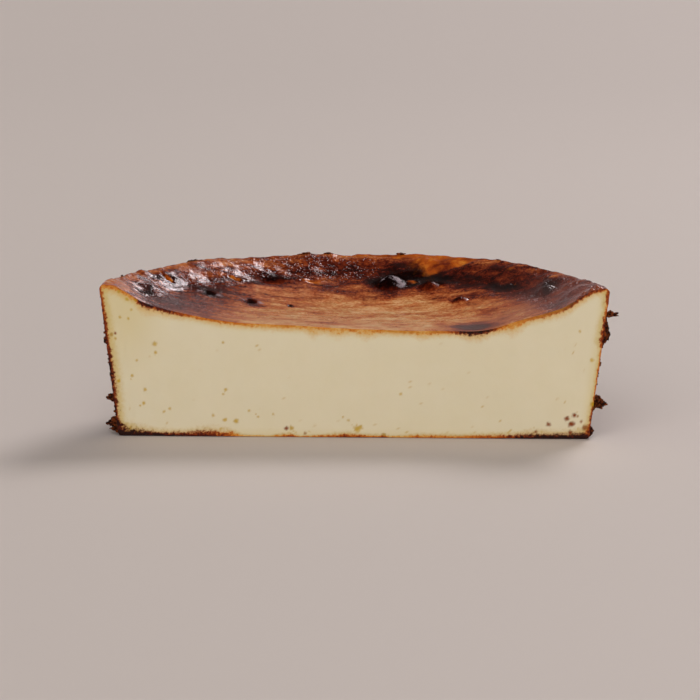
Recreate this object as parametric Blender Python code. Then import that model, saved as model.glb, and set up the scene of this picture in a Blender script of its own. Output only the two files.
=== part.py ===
# Half of a round, burnt-top basque cheesecake, cut straight through its middle with a knife.
# It stands on z = 0, the cut face looks along -Y and the baked side runs round the back.
# The origin is under the middle of its box. Metres, +Z up, +X along the cut face.

import math
import random

import bmesh
import bpy
from mathutils import Matrix, Vector, noise

# Driving dimensions, in metres. Radii are from the cake's own axis.
RIM_RADIUS = 0.1102  # outside of the rim, just under its crest
BASE_RADIUS = 0.1029  # outside of the side, where it meets the base
CREST_HEIGHT = 0.0665  # crest of the rim at the two cut ends
RIM_EDGE = 0.0022  # rounding from the crest over to the side
BASE_EDGE = 0.0012  # rounding from the side under to the base
MIDDLE_HEIGHT = 0.0472  # the sunk middle of the top
SLOPE_RADIUS = 0.0541  # where the flat middle starts to rise
SLOPE_BLEND = 0.0070  # how softly it starts
SLOPE = 0.29  # rise of the top for each unit outwards, past that radius
ROLL_INNER = 0.0868  # the crease at the foot of the rolled rim
ROLL_OUTER = 0.1040  # where the roll levels off
ROLL_RISE = 0.0038  # height that the roll adds to the slope
RIM_SAG = 0.0017  # the rim is this much lower away from the cut ends
SAG_ANGLE = 9.0  # degrees from a cut end over which it sinks
SIDE_LIFT_HEIGHT = 0.0400  # above this the side follows the rim up and down

AXIS_X = -0.0021  # the cake's axis and the knife's cut, seen from the origin
CUT_Y = -0.0552

# Rises and dips along the rim: degrees round from the +X end, height, spread in degrees.
RIM_WAVES = (
    (27, -0.0005, 8),
    (58, 0.0007, 12),
    (90, -0.0006, 7),
    (101, 0.0004, 4),
    (115, -0.0009, 9),
    (129, 0.0005, 6),
    (145, -0.0006, 7),
    (168, 0.0004, 6),
)
# Broad swells and hollows of the skin: x, y, height, spread along x, spread along y.
SWELLS = (
    (-0.0420, 0.0000, 0.0025, 0.0290, 0.0450),
    (0.0580, 0.0000, -0.0011, 0.0076, 0.0300),
    (-0.0945, 0.0240, -0.0016, 0.0040, 0.0070),
    (-0.0900, 0.0285, 0.0010, 0.0035, 0.0050),
    (0.0740, 0.0560, -0.0010, 0.0060, 0.0050),
    (-0.0600, 0.0710, 0.0009, 0.0100, 0.0040),
    (-0.0360, 0.0810, 0.0010, 0.0120, 0.0040),
    (0.0420, 0.0890, -0.0009, 0.0090, 0.0030),
)
# Blisters and pits of the skin: x, y, radius, height. Pits have a negative height.
BLISTERS = (
    (0.0168, 0.0790, 0.0072, 0.0034),
    (0.0343, 0.0730, 0.0048, 0.0018),
    (0.0478, 0.0515, 0.0042, 0.0014),
    (0.0850, 0.0400, 0.0048, 0.0017),
    (0.0601, 0.0520, 0.0042, 0.0006),
    (0.0732, 0.0618, 0.0030, -0.0014),
    (-0.0653, 0.0458, 0.0032, -0.0020),
    (-0.0467, 0.0449, 0.0032, -0.0022),
    (-0.0850, 0.0510, 0.0036, -0.0016),
    (-0.0944, 0.0470, 0.0048, 0.0014),
    (-0.0200, 0.0805, 0.0036, -0.0012),
)
# Crags of torn, burnt crust on the side: degrees round from the +X end, height, how far its
# middle is out from the side, half sizes outwards, across and upwards.
CRAGS = (
    (1.7, 0.0480, -0.0005, 0.0030, 0.0029, 0.0064),
    (1.1, 0.0549, 0.0017, 0.0034, 0.0010, 0.0009),
    (1.5, 0.0152, 0.0012, 0.0042, 0.0022, 0.0019),
    (2.1, 0.0168, 0.0010, 0.0026, 0.0026, 0.0021),
    (1.3, 0.0032, -0.0004, 0.0018, 0.0020, 0.0020),
    (178.6, 0.0165, 0.0004, 0.0027, 0.0020, 0.0016),
    (178.3, 0.0055, 0.0006, 0.0032, 0.0026, 0.0022),
    (178.8, 0.0030, 0.0001, 0.0026, 0.0020, 0.0018),
    (178.9, 0.0420, -0.0002, 0.0014, 0.0014, 0.0017),
    (134.0, 0.0645, -0.0012, 0.0020, 0.0030, 0.0014),
)
HIDDEN_CRAGS = 17  # more of them round the back, by a rule
HIDDEN_CRAG_SIZE = (0.0012, 0.0028)
CRAG_ROUGHNESS = 0.45

# How finely it is modelled.
TOP_RINGS = 46
EDGE_RINGS = 5
SIDE_RINGS = 24
AROUND = 300
KEPT_SHARE = 0.285  # share of the triangles that the final skin keeps


def soft_ramp(past, blend):
    """0 before the start of a slope, the distance past it afterwards, with a soft start."""
    return blend * math.log1p(math.exp(min(past / blend, 60.0)))


def smooth_step(t):
    t = min(max(t, 0.0), 1.0)
    return t * t * (3.0 - 2.0 * t)


def bell(distance, spread):
    return math.exp(-0.5 * (distance / spread) ** 2)


def degrees_round(x, y):
    return math.degrees(abs(math.atan2(y, x)))


def turned_height(radius):
    """The top's height at the cut ends, before any swell or blister."""
    rise = SLOPE * soft_ramp(radius - SLOPE_RADIUS, SLOPE_BLEND)
    roll = ROLL_RISE * smooth_step((radius - ROLL_INNER) / (ROLL_OUTER - ROLL_INNER))
    return MIDDLE_HEIGHT + rise + roll


def rim_change(angle):
    """How much higher or lower the rim is at an angle than at the cut ends."""
    from_end = min(angle, 180.0 - angle)
    change = -RIM_SAG * (1.0 - bell(from_end, SAG_ANGLE))
    for middle, height, spread in RIM_WAVES:
        change += height * bell(angle - middle, spread)
    return change


def skin_relief(x, y):
    """Swells, blisters, pits and the lumpy roll of the rim, added to the turned top."""
    radius = math.hypot(x, y)
    relief = rim_change(degrees_round(x, y)) * smooth_step((radius - 0.078) / 0.026)
    for mid_x, mid_y, height, spread_x, spread_y in SWELLS:
        relief += height * bell(x - mid_x, spread_x) * bell(y - mid_y, spread_y)
    for mid_x, mid_y, size, height in BLISTERS:
        inside = 1.0 - ((x - mid_x) ** 2 + (y - mid_y) ** 2) / size**2
        relief += height * max(inside, 0.0) ** 1.4
    on_roll = smooth_step((radius - 0.080) / 0.012)
    lumps = noise.fractal(Vector((x, y, 0.0)) / 0.009, 1.0, 2.0, 3)
    wrinkles = noise.fractal(Vector((x / 0.030, y / 0.008, 3.0)), 1.0, 2.0, 3)
    return relief + 0.0007 * lumps * on_roll + 0.00025 * wrinkles


def side_relief(angle, height):
    """Soft bulges and shallow upright creases where the tin's lining pressed on the side."""
    turn = math.radians(angle)
    round_it = Vector((math.cos(turn), math.sin(turn), height / 0.110))
    away_from_cut = smooth_step(min(angle, 180.0 - angle) / 12.0)
    bulge = 0.0007 * noise.fractal(round_it * 4.0, 1.0, 2.0, 2)
    lean = 2.5 * noise.noise(Vector((angle / 25.0, height / 0.045, 7.0)))
    crease = abs(noise.noise(Vector(((angle + lean) / 6.5, height / 0.090, 2.0))))
    groove = -0.0010 * max(0.0, 1.0 - crease / 0.12)
    grain = 0.00025 * noise.noise(round_it * 30.0)
    return (bulge + groove) * away_from_cut + grain


def turned_profile():
    """The whole cake's outline, from the middle of the top out over the rim and under the base."""
    crest_radius = RIM_RADIUS - RIM_EDGE
    top = turned_height(crest_radius)
    points = []
    for ring in range(TOP_RINGS + 1):
        radius = crest_radius * (ring / TOP_RINGS) ** 0.72
        points.append((radius, turned_height(radius)))
    for ring in range(1, EDGE_RINGS + 1):
        turn = math.radians(90.0 * ring / EDGE_RINGS)
        over = (crest_radius + RIM_EDGE * math.sin(turn), top - RIM_EDGE * (1.0 - math.cos(turn)))
        points.append(over)
    side_top, side_foot = top - RIM_EDGE, BASE_EDGE
    for ring in range(1, SIDE_RINGS + 1):
        share = ring / SIDE_RINGS
        radius = RIM_RADIUS + (BASE_RADIUS - RIM_RADIUS) * share
        points.append((radius, side_top + (side_foot - side_top) * share))
    for turn in (30.0, 60.0, 90.0):
        under = math.radians(turn)
        inward = BASE_EDGE * (1.0 - math.cos(under))
        points.append((BASE_RADIUS - inward, BASE_EDGE * (1.0 - math.sin(under))))
    below = -2.0 * BASE_EDGE  # trimmed off when the base is made flat
    points.append((BASE_RADIUS - BASE_EDGE, below))
    points.append((0.0, below))
    return points


def shaped(point):
    """Where a point of the plainly turned cake lies once the skin and the side have their relief."""
    radius = math.hypot(point.x, point.y)
    if radius < 1e-6:
        return point + Vector((0.0, 0.0, skin_relief(point.x, point.y) if point.z > 0.0 else 0.0))
    angle = degrees_round(point.x, point.y)
    crest_radius = RIM_RADIUS - RIM_EDGE
    if radius <= crest_radius and point.z >= MIDDLE_HEIGHT:
        lift = skin_relief(point.x, point.y)
        push = 0.0
    else:
        at_crest = crest_radius / radius
        lift = skin_relief(point.x * at_crest, point.y * at_crest)
        lift *= smooth_step((point.z - SIDE_LIFT_HEIGHT) / (CREST_HEIGHT - SIDE_LIFT_HEIGHT))
        push = side_relief(angle, point.z)
        push *= smooth_step((turned_height(crest_radius) - point.z) / RIM_EDGE)
    out = 1.0 + push / radius
    return Vector((point.x * out, point.y * out, point.z + lift))


def whole_cake():
    """The cake as it comes out of the tin: a turned outline with its relief."""
    bm = bmesh.new()
    corners = [bm.verts.new((radius, 0.0, height)) for radius, height in turned_profile()]
    edges = [bm.edges.new(pair) for pair in zip(corners, corners[1:])]
    bmesh.ops.spin(
        bm, geom=corners + edges, axis=(0.0, 0.0, 1.0), cent=(0.0, 0.0, 0.0),
        angle=math.tau, steps=AROUND, use_merge=True,
    )
    bmesh.ops.remove_doubles(bm, verts=bm.verts, dist=1e-6)
    for vertex in bm.verts:
        vertex.co = shaped(vertex.co.copy())
    bmesh.ops.triangulate(bm, faces=bm.faces)
    bmesh.ops.recalc_face_normals(bm, faces=bm.faces)
    mesh = bpy.data.meshes.new("cheesecake")
    bm.to_mesh(mesh)
    bm.free()
    cake = bpy.data.objects.new("cheesecake", mesh)
    bpy.context.scene.collection.objects.link(cake)
    thinned = cake.modifiers.new("thinned", "DECIMATE")
    thinned.ratio = KEPT_SHARE
    return cake


def side_radius(height):
    return BASE_RADIUS + (RIM_RADIUS - BASE_RADIUS) * height / (CREST_HEIGHT - RIM_EDGE)


def hidden_crags():
    """Crags round the back, more of them low down, where the crust tears as the lining peels off."""
    draw = random.Random(11)
    low, high = HIDDEN_CRAG_SIZE
    for number in range(HIDDEN_CRAGS):
        angle = 8.0 + 164.0 * (number + draw.uniform(0.1, 0.9)) / HIDDEN_CRAGS
        height = 0.0025 + 0.0500 * draw.random() ** 2.2
        size = draw.uniform(low, high)
        across = size * draw.uniform(1.0, 2.2)
        yield angle, height, -0.2 * size, size, across, size * draw.uniform(0.7, 1.3)


def add_crag(collection, number, crag):
    angle, height, stand_off, outward, across, upward = crag
    bm = bmesh.new()
    bmesh.ops.create_icosphere(bm, subdivisions=2, radius=1.0)
    for vertex in bm.verts:
        rough = noise.fractal(vertex.co * 1.3 + Vector((number, 0.0, 0.0)), 1.0, 2.0, 2)
        vertex.co *= 1.0 + CRAG_ROUGHNESS * rough
    out = side_radius(height) + stand_off
    place = Matrix.Rotation(math.radians(angle), 4, "Z") @ Matrix.Translation((out, 0.0, height))
    bm.transform(place @ Matrix.Diagonal((outward, across, upward, 1.0)))
    mesh = bpy.data.meshes.new(f"crag_{number:02d}")
    bm.to_mesh(mesh)
    bm.free()
    collection.objects.link(bpy.data.objects.new(mesh.name, mesh))


def replace_with_result(thing):
    """The object's mesh as its modifiers leave it, with the modifiers gone."""
    shown = thing.evaluated_get(bpy.context.evaluated_depsgraph_get())
    mesh = bpy.data.meshes.new_from_object(shown)
    thing.modifiers.clear()
    thing.data = mesh


def fuse_crags(cake):
    crags = bpy.data.collections.new("crags")
    bpy.context.scene.collection.children.link(crags)
    for number, crag in enumerate([*CRAGS, *hidden_crags()]):
        add_crag(crags, number, crag)
    union = cake.modifiers.new("fused", "BOOLEAN")
    union.operation = "UNION"
    union.operand_type = "COLLECTION"
    union.collection = crags
    replace_with_result(cake)
    for crag in list(crags.objects):
        bpy.data.objects.remove(crag)
    bpy.data.collections.remove(crags)


def cut_flat(bm, place, outward):
    """Cuts away what lies past a plane and closes the cut. Returns the flat new face."""
    everything = bm.verts[:] + bm.edges[:] + bm.faces[:]
    found = bmesh.ops.bisect_plane(
        bm, geom=everything, dist=1e-6, plane_co=place, plane_no=outward, clear_outer=True,
    )
    cut_edges = [part for part in found["geom_cut"] if isinstance(part, bmesh.types.BMEdge)]
    return bmesh.ops.holes_fill(bm, edges=cut_edges, sides=0)["faces"]


def knife_and_base(cake):
    """Halves the cake, makes its base flat and moves it so that the origin is under its middle."""
    bm = bmesh.new()
    bm.from_mesh(cake.data)
    cut_flat(bm, (0.0, 0.0, 0.0), (0.0, 0.0, -1.0))
    for face in cut_flat(bm, (0.0, 0.0, 0.0), (0.0, -1.0, 0.0)):
        face.material_index = 1
    bmesh.ops.recalc_face_normals(bm, faces=bm.faces)
    bmesh.ops.translate(bm, verts=bm.verts, vec=(AXIS_X, CUT_Y, 0.0))
    bm.to_mesh(cake.data)
    bm.free()


def food_material(name, colour, roughness):
    material = bpy.data.materials.new(name)
    material.use_nodes = True
    shader = material.node_tree.nodes["Principled BSDF"]
    shader.inputs["Base Color"].default_value = (*colour, 1.0)
    shader.inputs["Roughness"].default_value = roughness
    shader.inputs["Metallic"].default_value = 0.0
    return material


def main():
    for thing in list(bpy.data.objects):
        bpy.data.objects.remove(thing)
    cake = whole_cake()
    replace_with_result(cake)
    fuse_crags(cake)
    cake.data.materials.clear()
    cake.data.materials.append(food_material("burnt_crust", (0.13, 0.045, 0.02), 0.45))
    cake.data.materials.append(food_material("baked_custard", (0.60, 0.50, 0.30), 0.55))
    knife_and_base(cake)
    cake.data.shade_smooth()
    cake.data.set_sharp_from_angle(angle=math.radians(40.0))


main()
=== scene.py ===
import math
import random

import bmesh
import bpy
from mathutils import Matrix, Vector, noise


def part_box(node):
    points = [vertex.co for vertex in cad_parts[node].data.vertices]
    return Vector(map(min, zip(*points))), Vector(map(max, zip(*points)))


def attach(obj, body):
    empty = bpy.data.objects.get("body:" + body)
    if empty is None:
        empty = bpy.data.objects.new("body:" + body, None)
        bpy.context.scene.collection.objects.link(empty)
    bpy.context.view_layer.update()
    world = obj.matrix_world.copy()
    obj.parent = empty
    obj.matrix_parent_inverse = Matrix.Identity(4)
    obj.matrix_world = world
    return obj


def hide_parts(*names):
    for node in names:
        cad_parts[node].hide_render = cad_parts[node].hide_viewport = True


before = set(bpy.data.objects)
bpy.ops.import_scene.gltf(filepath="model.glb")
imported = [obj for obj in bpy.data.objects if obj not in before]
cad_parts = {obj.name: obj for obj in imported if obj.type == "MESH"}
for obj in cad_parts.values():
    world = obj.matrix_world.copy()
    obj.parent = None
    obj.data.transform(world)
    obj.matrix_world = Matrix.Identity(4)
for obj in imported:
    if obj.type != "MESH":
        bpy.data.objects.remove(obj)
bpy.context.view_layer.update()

cakeLow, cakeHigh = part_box("cheesecake")

# The round cake that was cut in half. Metres and degrees; angles run from the right hand end of the cut.
cake = {
    "rimRadius": 0.1102,
    "baseRadius": 0.1029,
    "crestHeight": 0.0665,
    "rimEdge": 0.0022,
    "baseEdge": 0.0012,
    "middleHeight": 0.0472,
    "slopeRadius": 0.0541,
    "slopeBlend": 0.0070,
    "slope": 0.29,
    "rollInner": 0.0868,
    "rollOuter": 0.1040,
    "rollRise": 0.0038,
    "rimSag": 0.0017,
    "sagAngle": 9.0,
    "sideLiftHeight": 0.0400,
    "axisX": -0.0021,
    "cutY": cakeLow.y,
}


def fromMillimetres(columns, rows):
    # These columns are written in millimetres and used in metres.
    return tuple(tuple(v / 1000.0 if at in columns else v for at, v in enumerate(row)) for row in rows)


# Waves of the rim's height: angle, height, spread
rimWaves = fromMillimetres((1,), (
    (27, -0.5, 8), (58, 0.7, 12), (90, -0.6, 7), (101, 0.4, 4), (115, -0.9, 9), (129, 0.5, 6),
    (145, -0.6, 7), (168, 0.4, 6),
))
# Wide swells of the skin: x, y, spread along x, spread along y, height
swells = fromMillimetres(range(5), (
    (-42, 0, 29, 45, 2.5), (58, 0, 7.6, 30, -1.1), (-94.5, 24, 4, 7, -1.6), (-90, 28.5, 3.5, 5, 1),
    (74, 56, 6, 5, -1), (-60, 71, 10, 4, 0.9), (-36, 81, 12, 4, 1), (42, 89, 9, 3, -0.9),
))
# Blisters: x, y, radius, height; a pit's height is negative
blisters = fromMillimetres(range(4), (
    (16.8, 79, 7.2, 3.4), (34.3, 73, 4.8, 1.8), (47.8, 51.5, 4.2, 1.4), (85, 40, 4.8, 1.7),
    (60.1, 52, 4.2, 0.6), (73.2, 61.8, 3, -1.4), (-65.3, 45.8, 3.2, -2), (-46.7, 44.9, 3.2, -2.2),
    (-85, 51, 3.6, -1.6), (-94.4, 47, 4.8, 1.4), (-20, 80.5, 3.6, -1.2),
))
bigBlisters = blisters[:4]
# The skin's own form. Pairs say where a thing begins and over how far it comes.
skinForm = {
    "waveFrom": (0.078, 0.026),
    "rollFrom": (0.080, 0.012),
    "roundness": 1.4,  # of a blister
    "lump": 0.0007, "lumpSize": 0.009,
    "wrinkle": 0.00025, "wrinkleLength": 0.030, "wrinkleWidth": 0.008,
}
# The side's: creases of a paper lining, shallow bulges and grain
sideForm = {
    "plainAtCut": 12.0,  # degrees
    "heightSize": 0.110,
    "bulge": 0.0007, "bulgesRound": 4.0,
    "crease": 0.0010, "creaseWidth": 0.12, "creaseAngle": 6.5, "creaseLength": 0.090,
    "lean": 2.5, "leanAngle": 25.0, "leanLength": 0.045,
    "grain": 0.00025, "grainsRound": 30.0,
}


def softRamp(past, blend):
    return blend * math.log1p(math.exp(min(past / blend, 60.0)))


def smoothStep(t):
    t = min(max(t, 0.0), 1.0)
    return t * t * (3.0 - 2.0 * t)


def rise(value, start, width):
    # 0 at the start and 1 past the width; a negative width looks the other way.
    return smoothStep((value - start) / width)


def bell(distance, spread):
    return math.exp(-0.5 * (distance / spread) ** 2)


def spotsAt(spots, x, y):
    return sum(amount * bell(x - midX, spreadX) * bell(y - midY, spreadY)
               for midX, midY, spreadX, spreadY, amount in spots)


def degreesRound(x, y):
    return math.degrees(abs(math.atan2(y, x)))


def turnedHeight(radius):
    climb = cake["slope"] * softRamp(radius - cake["slopeRadius"], cake["slopeBlend"])
    share = (radius - cake["rollInner"]) / (cake["rollOuter"] - cake["rollInner"])
    return cake["middleHeight"] + climb + cake["rollRise"] * smoothStep(share)


def rimChange(angle):
    fromEnd = min(angle, 180.0 - angle)
    change = -cake["rimSag"] * (1.0 - bell(fromEnd, cake["sagAngle"]))
    for middle, height, spread in rimWaves:
        change += height * bell(angle - middle, spread)
    return change


def skinRelief(x, y):
    radius, form = math.hypot(x, y), skinForm
    relief = rimChange(degreesRound(x, y)) * rise(radius, *form["waveFrom"]) + spotsAt(swells, x, y)
    for midX, midY, size, height in blisters:
        inside = 1.0 - ((x - midX) ** 2 + (y - midY) ** 2) / size**2
        relief += height * max(inside, 0.0) ** form["roundness"]
    lumps = noise.fractal(Vector((x, y, 0.0)) / form["lumpSize"], 1.0, 2.0, 3)
    wrinkleWay = Vector((x / form["wrinkleLength"], y / form["wrinkleWidth"], 3.0))
    relief += form["wrinkle"] * noise.fractal(wrinkleWay, 1.0, 2.0, 3)
    return relief + form["lump"] * lumps * rise(radius, *form["rollFrom"])


def sideRelief(angle, height):
    form, turn = sideForm, math.radians(angle)
    roundIt = Vector((math.cos(turn), math.sin(turn), height / form["heightSize"]))
    awayFromCut = smoothStep(min(angle, 180.0 - angle) / form["plainAtCut"])
    bulge = form["bulge"] * noise.fractal(roundIt * form["bulgesRound"], 1.0, 2.0, 2)
    leanWay = Vector((angle / form["leanAngle"], height / form["leanLength"], 7.0))
    across = (angle + form["lean"] * noise.noise(leanWay)) / form["creaseAngle"]
    crease = abs(noise.noise(Vector((across, height / form["creaseLength"], 2.0))))
    groove = form["crease"] * max(0.0, 1.0 - crease / form["creaseWidth"])
    return (bulge - groove) * awayFromCut + form["grain"] * noise.noise(roundIt * form["grainsRound"])


# What the finer mesh adds to that form.
skinDetail = {
    "rollFrom": (0.082, 0.010),
    "crinkle": 0.00009, "crinkleSize": 0.0026,  # wet, crinkled skin of the roll
    "bubble": 0.00014, "bubbleSize": 0.0046, "bubbleLevel": 0.4,
    "rimFold": 0.00020, "rimFoldSize": 0.0015, "rimFoldTurns": 7.0,  # fine folds that run along the rim
    "foldFrom": (0.070, 0.015), "foldRound": (44.0, -20.0),
    "streak": 0.00007, "streakSize": 0.0018, "streakLength": 0.012,
    "crumple": 0.00050, "crumpleSize": 0.0016,  # burnt tops of the blisters
    "tearReach": 0.018, "tearWidth": 0.6, "lip": 0.35, "lipAway": 1.8, "lipWidth": 0.7,
    "pinholeWidth": 0.5,
    "sideGrain": 0.00022, "sideGrainSize": 0.0016,
}
# Small shiny bubbles of skin at the right hand corner: x, y, radius, height
cornerBubbles = fromMillimetres(range(4), (
    (102.2, 2.2, 2.2, 1.3), (99.5, 4, 1.8, 0.9), (105, 4.6, 2, 1.3), (106.2, 1.2, 1.4, 1),
    (104, 9, 1.6, 0.8), (97, 1.5, 1.6, 0.6),
))
# Tears and splits in the skin: from x, y to x, y, half width, depth
tears = fromMillimetres(range(6), (
    (-88, 54, -85, 51.5, 0.6, 1), (-85, 51.5, -82.2, 47.8, 0.7, 1.2),
    (-84.5, 53, -81.5, 53.5, 0.5, 0.8), (-59, 73.5, -56, 72.2, 0.5, 0.9),
    (-57.5, 70, -53, 69.6, 0.7, 1), (-55, 71.2, -50.5, 72.2, 0.5, 0.8),
    (-24.8, 79.5, -20.5, 80.6, 0.6, 0.8), (-20.5, 80.6, -15.5, 81.5, 0.5, 0.7),
    (25, 80.2, 28.8, 80, 0.5, 0.8), (72.2, 61, 74.2, 62.8, 0.5, 1), (83.5, 37.5, 85.8, 22.5, 0.3, 0.4),
    (-97, 20, -92.5, 18, 0.6, 1), (-95.5, 29, -90.5, 32, 0.6, 1),
))
# Pinholes: x, y, radius, depth
pinholes = fromMillimetres(range(4), (
    (-29.1, 46, 0.8, 1.6), (-46.5, 44.7, 1.4, 0.5), (-65.2, 45.6, 1.2, 0.5),
))
# A dark hollow at the foot of the roll: x, y, spread along x, spread along y, depth
hollows = fromMillimetres(range(5), (
    (-41, 76.5, 6.5, 3, 1.4),
))
# Where the skin is less wet: x, y, spread along x, spread along y, amount
dullSpots = fromMillimetres(range(4), (
    (-41, 77, 8, 4, 0.5),
))
# How wet the skin is, 0 dry to 1 dripping
wetRule = {
    "all": 0.24,
    "roll": 0.76, "rollFrom": (0.080, 0.008), "rollRound": (74.0, 18.0),
    "left": 0.50, "leftFrom": (-0.045, -0.030),
    "right": 0.36, "rightFrom": (0.058, 0.022), "rightRound": (56.0, -24.0),
    "leftEnd": 0.55, "leftEndRound": (166.0, 8.0),
    "blisters": (-0.10, 0.35, 0.35, 0.35), "blisterSpread": 0.7,
    "drySide": 0.7,
}


def segmentDistance(x, y, fromX, fromY, toX, toY):
    runX, runY = toX - fromX, toY - fromY
    share = ((x - fromX) * runX + (y - fromY) * runY) / (runX * runX + runY * runY)
    share = min(max(share, 0.0), 1.0)
    return math.hypot(x - fromX - share * runX, y - fromY - share * runY)


def ridged(place):
    return 1.0 - 2.0 * abs(noise.noise(place))


def wetAt(x, y, radius, angle):
    rule = wetRule
    onRoll = rise(radius, *rule["rollFrom"])
    wet = rule["all"] + rule["roll"] * onRoll * rise(angle, *rule["rollRound"])
    wet += rule["left"] * rise(x, *rule["leftFrom"]) * (1.0 - onRoll)
    wet += rule["right"] * rise(x, *rule["rightFrom"]) * rise(angle, *rule["rightRound"])
    wet -= spotsAt(dullSpots, x, y) + rule["leftEnd"] * rise(angle, *rule["leftEndRound"])
    for (midX, midY, size, height), change in zip(bigBlisters, rule["blisters"]):
        wet += change * bell(math.hypot(x - midX, y - midY), rule["blisterSpread"] * size)
    return min(max(wet, 0.0), 1.0)


def foldAt(radius, angle):
    return rise(angle, *skinDetail["foldRound"]) * rise(radius, *skinDetail["foldFrom"])


def skinFineRelief(x, y, radius, angle):
    detail, place = skinDetail, Vector((x, y, 0.0))
    onRoll = rise(radius, *detail["rollFrom"])
    wetRoll = wetAt(x, y, radius, angle) * onRoll
    fine = detail["crinkle"] * wetRoll * ridged(place / detail["crinkleSize"])
    cells = noise.voronoi(place / detail["bubbleSize"])[0][0]
    fine += detail["bubble"] * wetRoll * (detail["bubbleLevel"] - cells)
    foldWay = Vector((radius / detail["rimFoldSize"], math.radians(angle) * detail["rimFoldTurns"], 1.0))
    fine += detail["rimFold"] * foldAt(radius, angle) * noise.fractal(foldWay, 1.0, 2.0, 2)
    streakWay = Vector((x / detail["streakLength"], y / detail["streakSize"], 5.0))
    fine += detail["streak"] * (1.0 - onRoll) * noise.fractal(streakWay, 1.0, 2.0, 2)
    for midX, midY, size, height in bigBlisters:
        near = max(0.0, 1.0 - math.hypot(x - midX, y - midY) / size)
        fine += detail["crumple"] * near * ridged(place / detail["crumpleSize"])
    for fromX, fromY, toX, toY, width, depth in tears:
        if max(abs(x - fromX), abs(y - fromY)) < detail["tearReach"]:
            away = segmentDistance(x, y, fromX, fromY, toX, toY)
            lip = detail["lip"] * bell(away - detail["lipAway"] * width, detail["lipWidth"] * width)
            fine += depth * (lip - bell(away, detail["tearWidth"] * width))
    for midX, midY, size, height in cornerBubbles:
        fine += height * smoothStep(1.0 - math.hypot(x - midX, y - midY) / size)
    for midX, midY, size, depth in pinholes:
        fine -= depth * bell(math.hypot(x - midX, y - midY), detail["pinholeWidth"] * size)
    return fine - spotsAt(hollows, x, y)


# How burnt the skin is, 0 pale tan to 1 black.
# Round the rim: angle, radius, angle spread, radius spread, change
rimBurns = fromMillimetres((1, 3), (
    # The entries near 90 mm out, from 42 to 118 degrees, darken the foot of the roll at the back: partly
    # burn, partly painted shade of the roll's inner face.
    (8, 96, 9, 10, 0.02), (28, 90, 9, 8, 0.02), (31, 107, 3, 2, -0.16), (42, 90.5, 9, 5.8, 0.16),
    (56, 90.8, 9, 5.5, 0.18), (46, 103, 14, 6, 0.06), (20, 102, 14, 7, 0.02), (68, 90, 7, 6, 0.16),
    (79, 93, 7, 6.5, 0.16), (76, 107.5, 13, 2, -0.22), (64, 106, 8, 3, -0.14), (92, 96, 8, 6, 0.12),
    (97, 104, 9, 3, -0.04), (88, 106, 5, 2, -0.12), (104, 95, 8, 5, 0.08), (118, 86.5, 6, 5, 0.12),
    (112, 90, 6, 4, 0.1), (113, 105, 6, 3, -0.05), (128, 101, 10, 6, 0.06), (142, 101, 10, 6, 0.04),
    (142, 106.5, 10, 2, -0.16), (157, 100, 7, 5, 0.04), (160, 106.5, 10, 2.5, -0.2),
    (176, 103.5, 6, 5.6, -0.34),
))
# Elsewhere: x, y, spread along x, spread along y, change
# The broad pale entries at small y, along the cut, lighten the flat skin there: a painted sheen of the
# backdrop, put in as less burn.
skinBurns = fromMillimetres(range(4), (
    (18, 78.5, 8, 6.2, 0.36), (23, 90.5, 10, 5, 0.14), (35, 77, 6.5, 8.5, 0.24), (15, 67, 7, 3.2, 0.22),
    (6.1, 56.7, 3.5, 2, 0.12), (45, 54.5, 8, 4.2, 0.16), (47.5, 52.5, 3, 2.6, 0.22),
    (61, 50.5, 5, 3, 0.12), (69, 60, 6, 4, 0.14), (64, 34, 8, 10, 0.08), (83, 43, 5, 7, 0.12),
    (82, 28, 12, 15, 0.1), (89, 12, 5, 5, 0.22), (54.5, 15, 8, 4.2, 0.2), (50, 8.5, 7.5, 4.5, 0.7),
    (53, 5.5, 4.2, 2.2, 0.34), (62, 5, 6, 3, 0.22), (47, 30, 9, 7, 0.1), (27.2, 38, 7, 3, 0.12),
    (18, 30, 10, 4, 0.05), (-18, 36, 3.5, 5, 0.2), (-25, 12, 8, 4, 0.12), (-8, 14, 9, 2.8, 0.14),
    (24, 12, 5, 3, 0.12), (36, 20, 3, 4, 0.1), (-46.7, 44, 4.2, 5.5, 0.16),
    (-65.3, 45.2, 4.2, 5.5, 0.16), (-94, 23, 4.2, 6, 0.22), (-90, 8, 6, 5, 0.12), (-78, 12, 8, 6, 0.1),
    (-86, 50, 4, 4, 0.2), (-70, 56, 11, 6, 0.18), (-76, 69, 11, 7, -0.12), (-60, 86, 11, 5, -0.12),
    (-72, 28, 20, 24, 0.12), (3, 56, 11, 12, -0.09), (18, 44, 6, 6, -0.08), (60, 42, 6, 4, -0.1),
    (-5, 33, 16, 10, -0.05), (0, 3, 55, 9, -0.13), (30, 38, 17, 18, -0.07), (55, 27, 12, 12, -0.07),
    (-44, 18, 17, 13, -0.11), (80, 18, 15, 16, -0.1), (32, 18, 10, 8, -0.06), (5, 22, 20, 10, -0.05),
    # The first entry darkens the foot of the roll at the back: partly burn, partly painted shade.
    (-15, 72, 17, 5, 0.2), (-10, 66, 30, 8, 0.08), (46, 7, 6, 4, 0.06), (55, 46, 8, 5, 0.07),
    (30, 18, 25, 12, -0.07), (-38, 20, 12, 12, -0.06), (5, 48, 25, 10, -0.05),
))
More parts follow.
